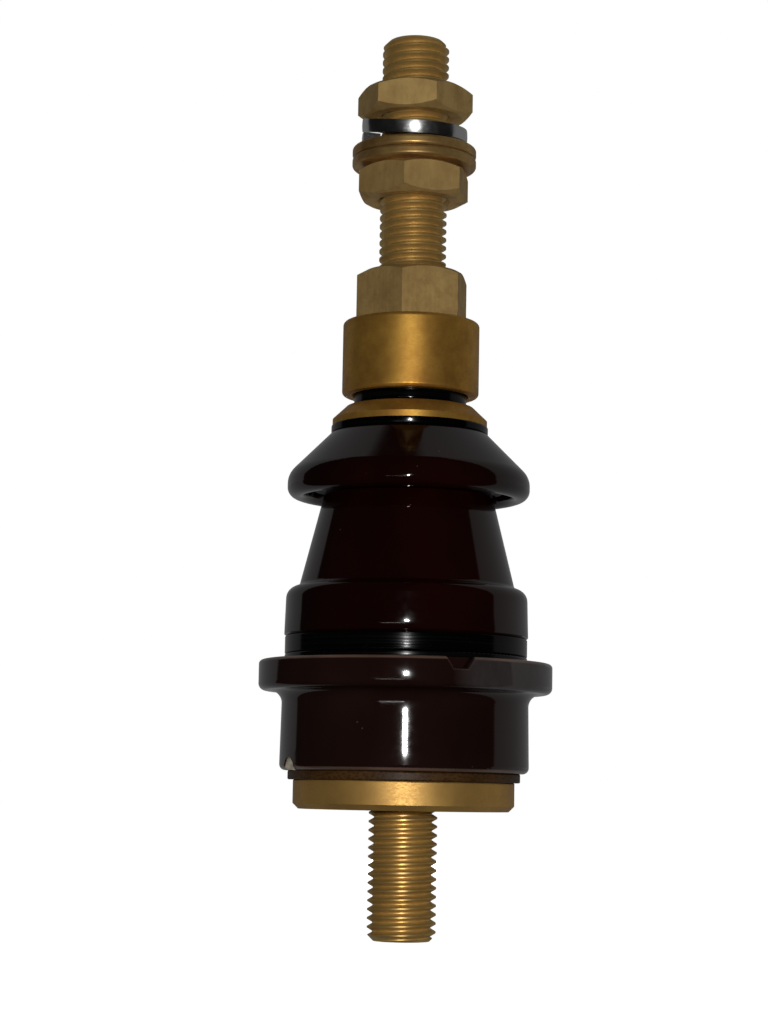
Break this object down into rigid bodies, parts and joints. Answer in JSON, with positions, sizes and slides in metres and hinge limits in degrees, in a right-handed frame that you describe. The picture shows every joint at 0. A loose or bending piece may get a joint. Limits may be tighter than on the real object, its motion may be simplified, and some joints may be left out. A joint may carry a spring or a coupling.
{
  "type": "transformer bushing",
  "caption": "Brown porcelain transformer bushing in two parts, clamped on a threaded brass stud with cap nut, seals and terminal nuts.",
  "frame": {"origin": "on the stud's axis, in the plane where the tank cover is clamped (the lower cover gasket's top face)", "axes": "+Z along the stud to the air-side terminal; -Y is the front, which shows the notch in the flange"},
  "size_m": [0.0852, 0.0852, 0.2652],
  "materials": {
    "stud_brass": "satin, rolled thread",
    "turned_brass": "satin, lathe turned",
    "nut_brass": "matte, drawn bar",
    "washer_brass": "satin, punched",
    "spring_steel": "bright plated steel",
    "brown_glaze": "dark brown glaze",
    "black_rubber": "smooth",
    "brown_gasket": "oil-soaked cork and rubber"
  },
  "bodies": {
    "clamped_base": {"stud": "stud_brass", "support_disc": "turned_brass", "locating_pin": "turned_brass", "bottom_gasket": "brown_gasket", "lower_insulator": "brown_glaze", "lower_cover_gasket": "black_rubber"},
    "upper_stack": {"upper_cover_gasket": "black_rubber", "upper_insulator": "brown_glaze", "top_gasket": "black_rubber", "pressure_disc": "turned_brass", "stud_seal": "black_rubber", "gland_washer": "turned_brass"},
    "cap_nut": {"cap_nut": "turned_brass"},
    "lower_washer": {"lower_flat_washer": "washer_brass"},
    "lower_nut": {"lower_terminal_nut": "nut_brass"},
    "upper_washers": {"upper_flat_washer": "washer_brass", "spring_washer": "spring_steel"},
    "upper_nut": {"upper_terminal_nut": "nut_brass"}
  },
  "joints": [
    {"name": "cover_gap", "type": "slide", "parent": "clamped_base", "child": "upper_stack", "axis": [0, 0, 1], "range_m": [0, 0.0125]},
    {"name": "cap_nut_turn", "type": "hinge", "parent": "upper_stack", "child": "cap_nut", "pos_m": [0, 0, 0.09], "axis": [0, 0, 1], "range_deg": [0, 1801]},
    {"name": "lower_nut_travel", "type": "slide", "parent": "clamped_base", "child": "lower_washer", "axis": [0, 0, 1], "range_m": [-0.0075, 0]},
    {"name": "lower_nut_turn", "type": "hinge", "parent": "lower_washer", "child": "lower_nut", "pos_m": [0, 0, 0.14], "axis": [0, 0, 1], "range_deg": [-1081, 0]},
    {"name": "upper_nut_turn", "type": "hinge", "parent": "clamped_base", "child": "upper_washers", "pos_m": [0, 0, 0.15], "axis": [0, 0, 1], "range_deg": [0, 1801]},
    {"name": "upper_nut_travel", "type": "slide", "parent": "upper_washers", "child": "upper_nut", "axis": [0, 0, 1], "range_m": [0, 0.0125]}
  ],
  "couplings": [
    {"joint": "cap_nut_turn", "follows": "cover_gap", "rad_per_m": 2513.3},
    {"joint": "lower_nut_turn", "follows": "lower_nut_travel", "rad_per_m": 2513.3},
    {"joint": "upper_nut_turn", "follows": "upper_nut_travel", "rad_per_m": 2513.3}
  ]
}
